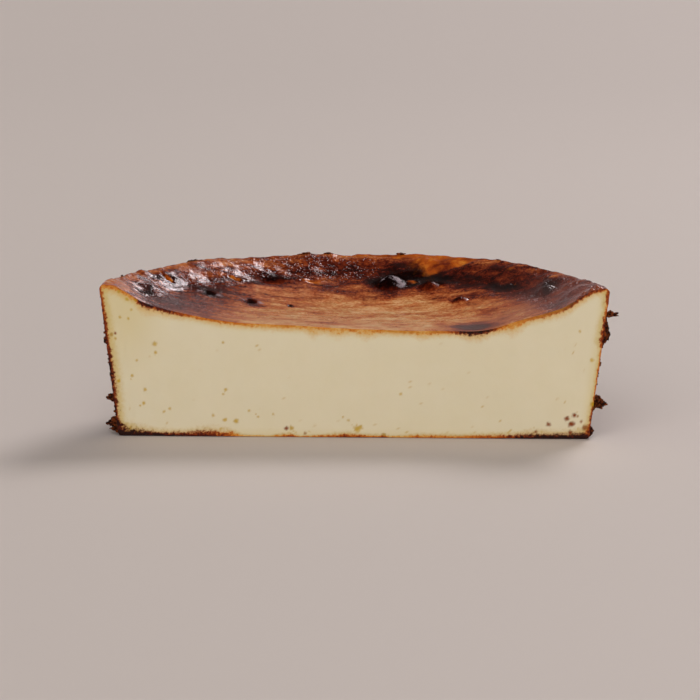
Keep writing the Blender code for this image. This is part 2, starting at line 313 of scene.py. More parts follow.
# Small black marks in the pits and beside the blisters: x, y, spread along x, spread along y, change
blackMarks = fromMillimetres(range(4), (
    (-29.1, 46, 0.7, 1.2, 1.6), (-46.5, 44, 1.7, 2.2, 0.9), (-65.2, 45, 1.6, 2.2, 0.8),
    (-93.5, 21.5, 1.8, 2, 0.4), (-90.5, 24.5, 0.9, 3, 0.45), (-84.5, 50, 0.8, 1.6, 0.35),
    # The first entry darkens the hollow at the foot of the roll: partly burn, partly painted shade.
    (-40, 81, 6, 3, 0.16), (15, 81.5, 6, 2.6, 0.45), (13.5, 76.8, 5, 3, 0.35), (19, 75, 5, 1.6, 0.2),
    (46, 51, 1.8, 1.6, 0.45), (32.5, 71.5, 3, 2, 0.25), (71.5, 60, 2.6, 2, 0.25), (66, 59, 4, 2, 0.1),
    (86.2, 40.5, 1.3, 5, 0.35), (88.5, 44, 2.6, 3, 0.3),
))
burnRule = {
    "all": 0.275,
    "roll": 0.245, "rollFrom": (0.074, 0.014),
    "left": 0.20, "leftFrom": (-0.036, -0.034),
    "right": 0.08, "rightFrom": (0.050, 0.034),
    "insideTo": (0.074, 0.016),
    "warps": ((0.0100, 0.0030, 11.0), (0.0028, 0.0010, 17.0)),  # size, reach and height in the noise
    "charRagged": 0.35, "charRaggedSize": 0.0016,
    "seed": 12,
}
# Places where the skin is thin, amber and see-through: x, y, spread along x, spread along y, amount
amberSpots = fromMillimetres(range(4), (
    (42.5, 92.5, 8.5, 3.6, 1.1), (20, 106.2, 8, 1.6, 1.1), (-52, 93, 6, 3, 0.6),
    (33.5, 96, 5, 2.6, 0.55), (51.5, 92, 4, 2.6, 0.8), (23, 104, 10, 2, 0.8), (40, 100, 8, 2, 0.5),
    (5, 107.6, 36, 1.5, 0.7), (-63.4, 71.2, 1.6, 2.4, 0.95), (-55.2, 69.9, 2.2, 1.2, 1),
    (-20.5, 80.6, 4, 1.2, 0.9), (26.8, 80, 1.4, 1.2, 0.8), (71.4, 73.5, 1.8, 1.8, 0.5),
    (74, 61.2, 1, 1.4, 0.5), (-84.8, 51.2, 1.4, 3, 0.75), (90.8, 53.2, 1.6, 2.6, 0.8),
    (-85.5, 51.2, 1.4, 1.4, 0.5), (-104, 8, 3.6, 12, 0.95),
))
# Painted reflection on the burnt blisters and beside the pits, a pale mauve mixed into the skin's colour: x,
# y, spread along x, spread along y, amount
paintedReflectionSpots = fromMillimetres(range(4), (
    (21.2, 76.4, 3, 2.6, 0.6), (17.5, 79.5, 3, 2, 0.45), (12.8, 79.5, 1.4, 1.2, 0.45),
    (-42.8, 44.5, 1.8, 2.2, 0.7), (-50.8, 46, 1.4, 2, 0.6), (-61.2, 45, 1.8, 2.2, 0.65),
    (-69.8, 46.5, 1.8, 2.4, 0.7),
))
# Where the skin is duller and a greyish mauve painted sheen of the pale backdrop is mixed into its colour:
# x, y, spread along x, spread along y, amount
sheenAndHazeSpots = fromMillimetres(range(4), (
    (89, 25, 12, 18, 0.6), (70, 33, 12, 16, 0.35), (62, 12, 16, 8, 0.6), (5, 18, 30, 14, 0.3),
    (-85, 22, 16, 14, 0.22), (-58, 18, 20, 13, 0.3), (5, 7, 60, 8, 0.3), (53, 10, 8, 5, 0.5),
    (98, 12, 7, 12, 0.6),
))
# Where it is charred and dull: x, y, reach along x, reach along y
charSpots = fromMillimetres(range(4), (
    (16.8, 79.2, 8.8, 7), (24, 87, 9, 4), (35.5, 73, 6.2, 5), (47.2, 51.4, 3.8, 3.2),
    (89.8, 44.5, 2.6, 3.6), (-40, 77.2, 7.6, 3.4), (-93.5, 22.5, 1.4, 3), (-91.5, 27.5, 1, 2.6),
    (-86, 52.5, 0.8, 1.8), (-83.5, 49, 0.9, 1.6), (-47.4, 44.8, 3.6, 3.8), (-66, 45.8, 3.6, 3.8),
    (-29.1, 46, 1.2, 1.4),
))


def charredAt(x, y):
    ragged = noise.noise(Vector((x, y, 0.0)) / burnRule["charRaggedSize"])
    edge = 1.0 + burnRule["charRagged"] * ragged
    return any(((x - midX) / reachX) ** 2 + ((y - midY) / reachY) ** 2 < edge
               for midX, midY, reachX, reachY in charSpots)


def warped(x, y):
    for size, reach, seed in burnRule["warps"]:
        shift = noise.noise_vector(Vector((x / size, y / size, seed)))
        x, y = x + reach * shift.x, y + reach * shift.y
    return x, y


def burnAt(x, y):
    rule, burn = burnRule, burnRule["all"] + spotsAt(blackMarks, x, y)
    x, y = warped(x, y)
    radius, angle = math.hypot(x, y), degreesRound(x, y)
    inside = 1.0 - rise(radius, *rule["insideTo"])
    burn += rule["roll"] * rise(radius, *rule["rollFrom"])
    burn += rule["left"] * rise(x, *rule["leftFrom"]) * inside
    burn += rule["right"] * rise(x, *rule["rightFrom"]) * inside
    return burn + spotsAt(rimBurns, angle, radius) + spotsAt(skinBurns, x, y)


def amberAt(x, y):
    return spotsAt(amberSpots, *warped(x, y))


# Half the cake, as one closed mesh.
mesh = {
    "topRings": 108,
    "topCrowding": 0.35,  # rings crowd together towards the rim
    "edgeRings": 5,
    "sideRings": 56,
    "footRings": 3,
    "around": 336,
    "touch": 1e-6,
    "onLine": 1e-5,
    "sharpFrom": 55.0,
    # how far the finer faces reach, in sizes of a blister, a bubble and a pore, and in metres
    "nearBlister": 1.25, "nearBubble": 1.2, "nearPore": 2.2, "nearTear": 0.0035,
}
skinSlot, cutSlot, charredSlot = 0, 1, 2  # the cake's materials


def crestRadius():
    return cake["rimRadius"] - cake["rimEdge"]


def topProfile():
    points = []
    for ring in range(mesh["topRings"] + 1):
        share = ring / mesh["topRings"]
        radius = crestRadius() * share * (1.0 + mesh["topCrowding"] * (1.0 - share))
        points.append((radius, turnedHeight(radius)))
    return points


def sideProfile():
    top, edge, foot = turnedHeight(crestRadius()), cake["rimEdge"], cake["baseEdge"]
    points = []
    for ring in range(1, mesh["edgeRings"] + 1):
        turn = math.radians(90.0 * ring / mesh["edgeRings"])
        points.append((crestRadius() + edge * math.sin(turn), top - edge * (1.0 - math.cos(turn))))
    for ring in range(1, mesh["sideRings"] + 1):
        share = ring / mesh["sideRings"]
        radius = cake["rimRadius"] + (cake["baseRadius"] - cake["rimRadius"]) * share
        points.append((radius, top - edge + (foot - top + edge) * share))
    for ring in range(1, mesh["footRings"] + 1):
        under = math.radians(90.0 * ring / mesh["footRings"])
        points.append((cake["baseRadius"] - foot * (1.0 - math.cos(under)), foot * (1.0 - math.sin(under))))
    return points


def spinHalf(bm):
    corners = [bm.verts.new((radius, 0.0, height)) for radius, height in topProfile() + sideProfile()]
    edges = [bm.edges.new(pair) for pair in zip(corners, corners[1:])]
    bmesh.ops.spin(
        bm, geom=corners + edges, axis=(0.0, 0.0, 1.0), cent=(0.0, 0.0, 0.0),
        angle=math.pi, steps=mesh["around"],
    )
    bmesh.ops.remove_doubles(bm, verts=bm.verts, dist=mesh["touch"])


def onTopLine(place):
    fromLine = abs(place.z - turnedHeight(abs(place.x)))
    return abs(place.x) < crestRadius() + mesh["touch"] and fromLine < mesh["onLine"]


def gridCutFace(bm):
    # The cut is bridged from the skin's edge to the foot, then its rows are matched to the side's rings.
    touch, crest = mesh["touch"], crestRadius()
    row, across = bm.verts.layers.float.new("row"), bm.verts.layers.float.new("across")
    onCut = [edge for edge in bm.edges if edge.is_boundary and max(abs(v.co.y) for v in edge.verts) < touch]
    topEdges = [edge for edge in onCut if all(onTopLine(v.co) for v in edge.verts)]
    footEdge = bm.edges.new([v for v in bm.verts if abs(v.co.y) < touch and v.co.z < touch])
    bmesh.ops.subdivide_edges(bm, edges=[footEdge], cuts=len(topEdges) - 1)
    footEdges = [edge for edge in bm.edges if edge.is_wire]
    faces = bmesh.ops.bridge_loops(bm, edges=topEdges + footEdges)["faces"]
    rungs = []
    for edge in {edge for face in faces for edge in face.edges}:
        high, low = sorted(edge.verts, key=lambda v: -v.co.z)
        if low.co.z < touch < 0.5 * cake["middleHeight"] < high.co.z:
            rungs.append(edge)
            low[row], high[row] = 1.0, 0.0
            low[across] = high[across] = high.co.x / crest
    side = [(crest, turnedHeight(crest))] + sideProfile()
    bmesh.ops.subdivide_edges(bm, edges=rungs, cuts=len(side) - 2, use_grid_fill=True)
    cutFaces = [face for face in bm.faces if all(abs(v.co.y) < touch for v in face.verts)]
    for v in {v for face in cutFaces for v in face.verts}:
        step = round(v[row] * (len(side) - 1))
        if step:
            radius, height = side[step]
            share = v[across]
            spread = crest + (radius - crest) * abs(share) ** 3
            v.co = (share * spread, 0.0, turnedHeight(abs(share) * crest) * height / side[0][1])
    for face in cutFaces:
        face.material_index = cutSlot
    nearCut = [v for v in bm.verts if abs(v.co.y) < mesh["onLine"]]
    bmesh.ops.remove_doubles(bm, verts=nearCut, dist=2.0 * touch)


def closeBase(bm):
    rim = [edge for edge in bm.edges if edge.is_boundary]
    base = bmesh.ops.holes_fill(bm, edges=rim, sides=0)["faces"]
    bmesh.ops.inset_region(bm, faces=base, thickness=cake["baseEdge"], use_even_offset=True)


# Pores and scorched bits on the cut face: x, height, radius, how brown they are
cutSpecks = fromMillimetres(range(3), (
    (-86.5, 40.5, 1.1, 0.25), (-86.2, 36.7, 0.8, 0.3), (-94.3, 33.4, 0.6, 0.2), (-96.5, 26.6, 0.7, 0.3),
    (-90.9, 20.5, 0.8, 0.3), (-91.5, 14.5, 0.8, 0.35), (-93, 13.4, 0.5, 0.3), (-56.9, 40.2, 0.6, 0.5),
    (-55.8, 20.5, 0.8, 0.3), (-56.9, 18.5, 0.6, 0.2), (-56.2, 7.2, 1, 0.3), (-51.2, 6.7, 1.2, 0.35),
    (-61.2, 9.2, 0.8, 0.15), (-82.7, 10.8, 0.7, 0.2), (-80.2, 12.2, 0.7, 0.2), (-102.2, 24.3, 0.8, 0.4),
    (-105.3, 44.6, 0.9, 0.6), (-103.5, 45.1, 0.6, 0.9), (-103.5, 42.8, 0.6, 0.5),
    (-45.6, 11.4, 0.7, 0.2), (-101.9, 63.2, 0.8, 0.5), (-98.5, 60, 0.8, 0.45),
    (-101.5, 52.2, 0.7, 0.45), (-97.8, 51.7, 0.6, 0.4), (-94.7, 59.7, 0.6, 0.5),
    (-96.5, 55.6, 0.6, 0.2), (-29.3, 3.7, 0.9, 0.85), (-27.1, 3.8, 1, 0.5), (1.6, 3.7, 1.6, 0.35),
    (3, 4.6, 1, 0.3), (-21.2, 1.4, 0.8, 0.7), (13.3, 1.3, 0.8, 0.6), (-35.1, 10, 0.6, 0.2),
    (-41.6, 8.7, 0.6, 0.2), (-4.6, 9, 0.6, 0.2), (-2.3, 7.4, 0.6, 0.2), (20.4, 19.5, 0.7, 0.2),
    (84.9, 6.4, 1, 0.8), (93, 8.9, 1.1, 0.85), (95, 6.6, 1.5, 0.95), (96.3, 10.5, 1, 0.95),
    (97.7, 10.1, 0.5, 0.7), (99.3, 7.7, 0.7, 0.75), (101, 4.9, 1.4, 0.75), (94.6, 2.8, 0.9, 0.9),
    (97.7, 47.5, 0.6, 0.25), (104.2, 15.6, 1.2, 0.5), (103.2, 35, 0.9, 0.3), (79.6, 3, 0.8, 0.8),
))
# Small pores everywhere else, more of them low down
poreRule = {
    "seed": 5, "count": 90, "reach": 0.100, "lowest": 0.002, "span": 0.040, "crowding": 2.2,
    "sizes": (0.00025, 0.00050), "tones": (0.05, 0.25),
}
# Brown drawn down from the skin by the knife: x, half width, length, amount
cutSmears = fromMillimetres(range(3), (
    (17.1, 4, 2.2, 0.8), (24.6, 3.4, 2.6, 0.9), (36.2, 2.8, 1.6, 0.7), (73.3, 6, 2.8, 0.55),
    (80.3, 4, 3, 0.6), (87.8, 4, 3.4, 0.7), (-29, 3, 1.6, 0.6),
))
# The crust in section, as lines round the cut face: place, thickness in mm, how burnt.
# Places are x along the skin and the base, and height up the two sides.
skinLine = fromMillimetres((0,), (
    (-108, 1.3, 0.4), (-100, 1.2, 0.36), (-95.5, 1, 0.32), (-93, 1.5, 1), (-89.5, 1.7, 1.02),
    (-86, 1.2, 0.84), (-82, 1.3, 0.94), (-76, 1.1, 0.8), (-71, 0.8, 0.42), (-60, 0.9, 0.42),
    (-48, 0.9, 0.36), (-39, 0.9, 0.22), (-31, 1, 0.36), (-22, 0.9, 0.26), (-18, 1.8, 0.14),
    (-14, 1, 0.38), (-7, 1.6, 0.12), (-1, 0.9, 0.38), (5, 1.6, 0.14), (12, 0.9, 0.44), (17, 1, 0.12),
    (25, 0.9, 0.4), (29, 1.5, 0.14), (33, 1.2, 0.4), (40, 0.9, 0.52), (45, 1, 0.9), (49, 1.6, 1.2),
    (55, 1.7, 1.15), (60, 1.1, 0.95), (64.5, 1.3, 0.4), (69, 2.2, 0.28), (72.5, 1.7, 0.36),
    (76, 1, 0.6), (84, 1.3, 0.72), (93, 1.3, 0.88), (99, 1.1, 0.82), (105, 1, 0.74), (109, 1, 0.7),
))
rightLine = fromMillimetres((0,), (
    (0, 2.2, 0.9), (4, 1.8, 0.75), (7, 0.9, 0.8), (14, 0.8, 0.75), (20, 0.6, 0.5), (40, 0.6, 0.48),
    (43, 1.3, 0.85), (53, 1.1, 0.85), (57, 0.8, 0.5), (60, 1.1, 0.68), (67, 1.3, 0.72),
))
leftLine = fromMillimetres((0,), (
    (0, 4.5, 1.3), (4.5, 3, 1.2), (6.5, 1.3, 1), (20, 1.5, 1), (31, 1.6, 1), (42, 1.2, 0.85),
    (52, 1.3, 0.8), (67, 0.9, 0.6),
))
baseLine = fromMillimetres((0,), (
    (-105, 2.8, 1.45), (-96, 2.4, 1.3), (-84, 1.3, 1.05), (-74, 1.3, 0.95), (-64, 2, 0.96),
    (-54, 1.6, 0.56), (-48, 0.5, 0.16), (-37, 0.3, 0.1), (-28, 1, 0.6), (-23, 0.3, 0.3),
    (-13, 0.6, 0.44), (-3, 1.2, 0.68), (6, 0.7, 0.48), (13, 0.7, 0.64), (18, 0.4, 0.16),
    (28, 0.9, 0.42), (48, 0.8, 0.42), (60, 1.1, 0.6), (70, 1.2, 0.9), (76, 1.7, 1.15), (90, 1.7, 1.2),
    (105, 2.2, 1.25),
))


def lineAt(line, place):
    for (before, thick, burnt), (after, nextThick, nextBurnt) in zip(line, line[1:]):
        if place <= after:
            share = max(place - before, 0.0) / (after - before)
            return thick + (nextThick - thick) * share, burnt + (nextBurnt - burnt) * share
    return line[-1][1], line[-1][2]


def seededSpecks():
    rule, draw = poreRule, random.Random(poreRule["seed"])
    specks = list(cutSpecks)
    for number in range(rule["count"]):
        x = draw.uniform(-rule["reach"], rule["reach"])
        height = rule["lowest"] + rule["span"] * draw.random() ** rule["crowding"]
        specks.append((x, height, draw.uniform(*rule["sizes"]), draw.uniform(*rule["tones"])))
    return specks


def isSkin(place):
    # The top inside the crest of the rim, which is nowhere lower than its middle.
    inside = math.hypot(place.x, place.y) <= crestRadius() + mesh["touch"]
    return inside and place.z > cake["middleHeight"] - 0.1 * cake["baseEdge"]


def refineNear(bm, centres, flat):
    # Splits faces near small features, so that their relief is in the mesh.
    chosen = set()
    for face in bm.faces:
        middle = face.calc_center_median()
        if (face.material_index == cutSlot) != flat or not (flat or isSkin(middle)):
            continue
        up = middle.z if flat else middle.y
        if any(abs(middle.x - x) < reach and abs(up - other) < reach for x, other, reach in centres):
            chosen.update(face.edges)
    bmesh.ops.subdivide_edges(bm, edges=list(chosen), cuts=1, use_grid_fill=True)


# Where the custard is yellower: x, height, spread along x, spread upwards, amount
mellowSpots = fromMillimetres(range(4), (
    (-99, 56, 9, 15, 0.55),
))
cutRule = {
    "slopeStep": 0.001,
    "lineShare": 1.3,
    # yellower towards the crust: how much, then from and over how many millimetres
    "skinMellow": (0.40, 0.5, 4.0), "sideMellow": (0.50, 1.0, 5.0), "baseMellow": (0.40, 0.5, 4.0),
    "reach": 3.0, "edge": 1.35, "wobble": 0.50, "wobbleSize": 0.0009,  # of a pore
    "brownFrom": (0.40, 0.50), "pore": 0.45, "poreTone": 1.2, "poreMost": 0.90, "brownHides": 0.8,
    "sunk": 0.12,
    "smearSize": 0.0012, "smearTurn": 900.0, "smearLeast": 0.6, "smearMore": 0.8,
    "drag": 0.00005, "dragWidth": 0.0015, "dragLength": 0.012, "dragFrom": 1.2,  # marks of the knife
}


def cutFaceValues(v, layers, specks):
    rule, step = cutRule, cutRule["slopeStep"]
    x, height = v.co.x, v.co.z
    top = turnedHeight(min(abs(x), crestRadius()))
    slope = (turnedHeight(abs(x) + step) - turnedHeight(max(abs(x) - step, 0.0))) / (2.0 * step)
    fromSkin = 1000.0 * (top - height) / math.hypot(1.0, slope)
    fromSide = 1000.0 * (sideRadiusAt(height) - abs(x))
    fromBase = 1000.0 * height
    mellow = spotsAt(mellowSpots, x, height)
    for name, distance, line, place in (
        ("skin", fromSkin, skinLine, x),
        ("side", fromSide, rightLine if x > 0.0 else leftLine, height),
        ("base", fromBase, baseLine, x),
    ):
        thickness, burnt = lineAt(line, place)
        v[layers[name + "Share"]] = distance / (rule["lineShare"] * thickness)
        v[layers[name + "Burnt"]] = burnt
        amount, start, width = rule[name + "Mellow"]
        mellow += amount * (1.0 - rise(distance, start, width))
    pore = brown = sunk = smear = 0.0
    for midX, midHeight, size, tone in specks:
        if max(abs(x - midX), abs(height - midHeight)) < rule["reach"] * size:
            away = math.hypot(x - midX, height - midHeight)
            wobble = 1.0 + rule["wobble"] * noise.noise(Vector((x, height, midX)) / rule["wobbleSize"])
            amount = smoothStep(rule["edge"] - away * wobble / size)
            browned = rise(tone, *rule["brownFrom"])
            strength = min(rule["pore"] + rule["poreTone"] * tone, rule["poreMost"])
            brown = max(brown, amount * browned)
            pore = max(pore, amount * strength * (1.0 - rule["brownHides"] * browned))
            sunk = max(sunk, rule["sunk"] * size * amount)
    for midX, width, length, amount in cutSmears:
        ragged = abs(noise.noise(Vector((x / rule["smearSize"], midX * rule["smearTurn"], 0.0))))
        reach = length * (rule["smearLeast"] + rule["smearMore"] * ragged)
        smear = max(smear, amount * bell(x - midX, width) * smoothStep(1.0 - (top - height) / reach))
    for name, value in (("pore", pore), ("scorch", brown), ("smear", smear), ("mellow", mellow)):
        v[layers[name]] = value
    return sunk, min(fromSkin, fromSide, fromBase)


def shapeCake(bm):
    names = (
        "burn", "amber", "paintedReflection", "hazeAndSheen", "fold", "wet", "skinShare", "skinBurnt", "sideShare", "sideBurnt",
        "baseShare", "baseBurnt", "pore", "scorch", "smear", "mellow",
    )
    layers = {name: bm.verts.layers.float.new(name) for name in names}
    specks, crest, touch = seededSpecks(), crestRadius(), mesh["touch"]
    for v in bm.verts:
        x, y, z = v.co
        radius, angle = math.hypot(x, y), degreesRound(x, y)
        onCut = any(face.material_index == cutSlot for face in v.link_faces)
        sunk, fromEdge = cutFaceValues(v, layers, specks) if onCut else (0.0, 0.0)
        if onCut and all(face.material_index == cutSlot for face in v.link_faces):
            lift = skinRelief(min(max(x, -crest), crest), 0.0) * (z / turnedHeight(min(abs(x), crest))) ** 2
            dragWay = Vector((x / cutRule["dragWidth"], z / cutRule["dragLength"], 0.0))
            drag = cutRule["drag"] * (1.0 + noise.fractal(dragWay, 1.0, 2.0, 2))
            v.co = (x, (sunk + drag) * smoothStep(fromEdge / cutRule["dragFrom"]), z + lift)
            continue
        onTop, side, push = isSkin(v.co), 0.0, 0.0
        if onTop:
            lift = skinRelief(x, y) + skinFineRelief(x, y, radius, angle)
        else:
            side = smoothStep((turnedHeight(crest) - z) / cake["rimEdge"])
            if z > touch:
                atCrest = crest / radius
                over = (z - cake["sideLiftHeight"]) / (cake["crestHeight"] - cake["sideLiftHeight"])
                grain = noise.fractal(Vector((x, y, z)) / skinDetail["sideGrainSize"], 1.0, 2.0, 2)
                lift = skinRelief(x * atCrest, y * atCrest) * smoothStep(over)
                push = side * (sideRelief(angle, z) + skinDetail["sideGrain"] * grain)
            else:
                lift = 0.0
        values = {
            "burn": burnAt(x, y) if onTop else sideBurnAt(angle, z, side, x, y),
            "amber": amberAt(x, y) * (1.0 - side),
            # a pale painted reflection on the blisters and beside the pits
            "paintedReflection": spotsAt(paintedReflectionSpots, x, y) * (1.0 - side),
            # duller skin, with a painted sheen of the pale backdrop in its colour
            "hazeAndSheen": min(spotsAt(sheenAndHazeSpots, x, y), 1.0) * (1.0 - side),
            "fold": foldAt(radius, angle) * (1.0 - side),
            "wet": wetAt(x, y, min(radius, crest), angle) * (1.0 - wetRule["drySide"] * side),
        }
        for name, value in values.items():
            v[layers[name]] = value
        out = 1.0 + push / max(radius, touch)
        v.co = (x * out, y * out, z + lift)


# How burnt the side is. Pale spots: angle, height, spread of each, change
sideBurn = {
    "all": 0.62,
    "foot": 0.22, "footFrom": (0.022, -0.022),
    "patch": 0.22, "patchesRound": 5.0, "patchHeight": 0.07,
    "paleSpots": ((0.0, 0.032, 7.0, 0.013, -0.30),),
    "leftEnd": 0.14, "leftEndSpread": 10.0,
}


def sideBurnAt(angle, height, side, x, y):
    rule, turn = sideBurn, math.radians(angle)
    atCrest = crestRadius() / max(math.hypot(x, y), mesh["touch"])
    fromTop = burnAt(x * atCrest, y * atCrest)
    patchWay = Vector((math.cos(turn), math.sin(turn), height / rule["patchHeight"])) * rule["patchesRound"]
    burn = rule["all"] + rule["foot"] * rise(height, *rule["footFrom"])
    burn += rule["patch"] * noise.fractal(patchWay, 1.0, 2.0, 3) + spotsAt(rule["paleSpots"], angle, height)
    burn += rule["leftEnd"] * bell(180.0 - angle, rule["leftEndSpread"])
    return fromTop + (burn - fromTop) * side


def makeCake():
    noise.seed_set(burnRule["seed"])  # else the clock decides how the ragged edges run
    bm = bmesh.new()
    spinHalf(bm)
    gridCutFace(bm)
    closeBase(bm)
    near = [(x, y, mesh["nearBlister"] * size) for x, y, size, height in blisters]
    near += [(x, y, mesh["nearBubble"] * size) for x, y, size, height in cornerBubbles]
    near += [(0.5 * (fromX + toX), 0.5 * (fromY + toY), mesh["nearTear"])
             for fromX, fromY, toX, toY, width, depth in tears]
    refineNear(bm, near, False)
    refineNear(bm, [(x, height, mesh["nearPore"] * size) for x, height, size, tone in cutSpecks], True)
    for face in bm.faces:
        middle = face.calc_center_median()
        if face.material_index == skinSlot and isSkin(middle) and charredAt(middle.x, middle.y):
            face.material_index = charredSlot
    shapeCake(bm)
    bmesh.ops.recalc_face_normals(bm, faces=bm.faces)
    return finishPiece("cheesecake", bm)


def finishPiece(name, bm):
    # Moves the piece to its place. Nothing stands out of the box of the plain model.
    bmesh.ops.translate(bm, verts=bm.verts, vec=(cake["axisX"], cake["cutY"], 0.0))
    for v in bm.verts:
        v.co = [min(max(at, low), high) for at, low, high in zip(v.co, cakeLow, cakeHigh)]
    data = bpy.data.meshes.new(name)
    bm.to_mesh(data)
    bm.free()
    data.shade_smooth()
    data.set_sharp_from_angle(angle=math.radians(mesh["sharpFrom"]))
    piece = bpy.data.objects.new(name + "Piece", data)
    bpy.context.scene.collection.objects.link(piece)
    return piece


# Burnt flakes and crags of torn crust: angle, height, stand off, half sizes outwards, across, upwards
crags = fromMillimetres(range(1, 6), (
    (1.7, 48, -0.5, 3, 2.9, 6.4), (1.1, 54.9, 1.5, 3.4, 1.2, 1.3), (1.5, 15.2, 1.2, 4.2, 2.2, 1.9),
    (2.1, 16.8, 1, 2.6, 2.6, 2.1), (1.3, 3.2, -0.4, 1.8, 2, 2), (178.6, 16.5, 0.4, 2.7, 2, 1.6),
    (178.3, 5.5, 0.6, 3.2, 2.6, 2.2), (178.8, 3, 0.1, 2.6, 2, 1.8), (178.9, 42, -0.2, 1.4, 1.4, 1.7),
    (134, 64.5, -1.2, 2, 3, 1.4),
))
cragRule = {
    "seed": 31, "hidden": 17, "hiddenSeed": 11,
    "firstAngle": 8.0, "turn": 164.0, "spacing": (0.1, 0.9),
    "lowest": 0.0025, "span": 0.0500, "crowding": 2.2,
    "sizes": (0.0012, 0.0028), "across": (1.0, 2.2), "upward": (0.7, 1.3), "sunk": 0.2,
    "rough": 0.40, "roughScale": 1.3, "fine": 0.26, "fineScale": 4.5,
    "chipping": 0.55, "chipScale": 2.3, "chipLevel": 0.32,
    # small lumps of crust that stick to each
    "bits": 9, "bitSize": 0.34, "bitSizes": (0.5, 1.2), "bitAway": 0.85, "leastOut": -0.3,
    "clearOfCut": 0.0001,
}


def sideRadiusAt(height):
    share = height / (cake["crestHeight"] - cake["rimEdge"])
    return cake["baseRadius"] + (cake["rimRadius"] - cake["baseRadius"]) * share


def hiddenCrags():
    rule, draw = cragRule, random.Random(cragRule["hiddenSeed"])
    for number in range(rule["hidden"]):
        place = number + draw.uniform(*rule["spacing"])
        angle = rule["firstAngle"] + rule["turn"] * place / rule["hidden"]
        height = rule["lowest"] + rule["span"] * draw.random() ** rule["crowding"]
        size = draw.uniform(*rule["sizes"])
        across = size * draw.uniform(*rule["across"])
        yield angle, height, -rule["sunk"] * size, size, across, size * draw.uniform(*rule["upward"])


# Burnt bits on the crest of the rim: angle, radius, half sizes across the rim, along it, upwards
crestBits = fromMillimetres(range(1, 5), (
    (52, 108.2, 0.8, 1.6, 0.6), (78.5, 108.4, 0.9, 2.2, 0.7), (97, 108, 1.2, 2.4, 0.8),
    (102.5, 108, 1.2, 3, 1), (163, 108.2, 0.6, 0.8, 0.5), (133, 107.8, 1.2, 3.4, 0.8),
))


def placedAt(angle, radius, height):
    return Matrix.Rotation(math.radians(angle), 4, "Z") @ Matrix.Translation((radius, 0.0, height))


def setLump(bm, verts, matrix):
    # Nothing of a lump reaches past the knife's cut or under the base.
    bmesh.ops.transform(bm, verts=verts, matrix=matrix)
    for v in verts:
        v.co.y = max(v.co.y, cragRule["clearOfCut"])
        v.co.z = max(v.co.z, 0.0)


def addLump(bm, subdivisions, seed, matrix):
    # A torn lump: an icosphere roughened by noise and chipped by cells.
    rule = cragRule
    verts = bmesh.ops.create_icosphere(bm, subdivisions=subdivisions, radius=1.0)["verts"]
    for v in verts:
        rough = noise.fractal(v.co * rule["roughScale"] + Vector((seed, 0.0, 0.0)), 1.0, 2.0, 2)
        fine = noise.fractal(v.co * rule["fineScale"] + Vector((0.0, seed, 0.0)), 0.7, 2.0, 3)
        chip = noise.voronoi(v.co * rule["chipScale"] + Vector((0.0, 0.0, seed)))[0][0]
        size = 1.0 + rule["rough"] * rough + rule["fine"] * fine
        v.co *= size - rule["chipping"] * (chip - rule["chipLevel"])
    setLump(bm, verts, matrix)


def makeFlakes():
    rule, draw = cragRule, random.Random(cragRule["seed"])
    bm = bmesh.new()
    for number, crag in enumerate([*crags, *hiddenCrags()]):
        angle, height, standOff, outward, across, upward = crag
        place = placedAt(angle, sideRadiusAt(height) + standOff, height)
        place = place @ Matrix.Diagonal((outward, across, upward, 1.0))
        addLump(bm, 4, float(number), place)
        for bit in range(rule["bits"]):
            way = (draw.uniform(rule["leastOut"], 1.0), draw.uniform(-1.0, 1.0), draw.uniform(-1.0, 1.0))
            size = rule["bitSize"] * draw.uniform(*rule["bitSizes"])
            least = min(outward, across, upward)
            shrink = Matrix.Diagonal((least / outward, least / across, least / upward, 1.0))
            stuckOn = place @ Matrix.Translation(rule["bitAway"] * Vector(way).normalized())
            stuckOn = stuckOn @ shrink @ Matrix.Scale(size, 4)
            addLump(bm, 3 if number < len(crags) else 2, number + 0.1 * bit, stuckOn)
    for number, (angle, radius, across, along, upward) in enumerate(crestBits):
        place = placedAt(angle, radius, turnedHeight(radius) + rimChange(angle))
        addLump(bm, 3, 50.0 + number, place @ Matrix.Diagonal((across, along, upward, 1.0)))
    return finishPiece("burntFlakes", bm)


crumbRule = {
    "seed": 23, "count": 420, "smallest": 0.00025, "more": 0.00050, "fewerLarge": 2,
    "atEnds": 0.30, "ends": (0.15, 3.5),  # share near the cut, and within which degrees
    "lowest": 0.0006, "span": 0.0610, "crowding": 1.4,
    "rough": 0.5, "roughScale": 1.6, "across": (0.6, 1.4), "upward": (0.6, 1.3), "standOff": 0.25,
}


def makeCrumbs():
    # Dry crumbs of crust that cling to the side and to the foot.
    rule, draw = crumbRule, random.Random(crumbRule["seed"])
    bm = bmesh.new()
    for number in range(rule["count"]):
        size = rule["smallest"] + rule["more"] * draw.random() ** rule["fewerLarge"]
        atEnd = draw.random() < rule["atEnds"]
        if atEnd:
            angle = abs(draw.choice((0.0, 180.0)) - draw.uniform(*rule["ends"]))
        else:
            angle = draw.uniform(0.0, 180.0)
        height = rule["lowest"] + rule["span"] * draw.random() ** rule["crowding"]
        verts = bmesh.ops.create_icosphere(bm, subdivisions=1, radius=1.0)["verts"]
        for v in verts:
            v.co *= 1.0 + rule["rough"] * noise.noise(v.co * rule["roughScale"] + Vector((number, 0.0, 0.0)))
        out = sideRadiusAt(height) + sideRelief(angle, height) + rule["standOff"] * size
        spin = Matrix.Rotation(draw.uniform(0.0, math.tau), 4, Vector((draw.random(), 1.0, draw.random())))
        stretch = Matrix.Diagonal((1.0, draw.uniform(*rule["across"]), draw.uniform(*rule["upward"]), 1.0))
        setLump(bm, verts, placedAt(angle, out, height) @ spin @ stretch @ Matrix.Scale(size, 4))
    return finishPiece("crustCrumbs", bm)


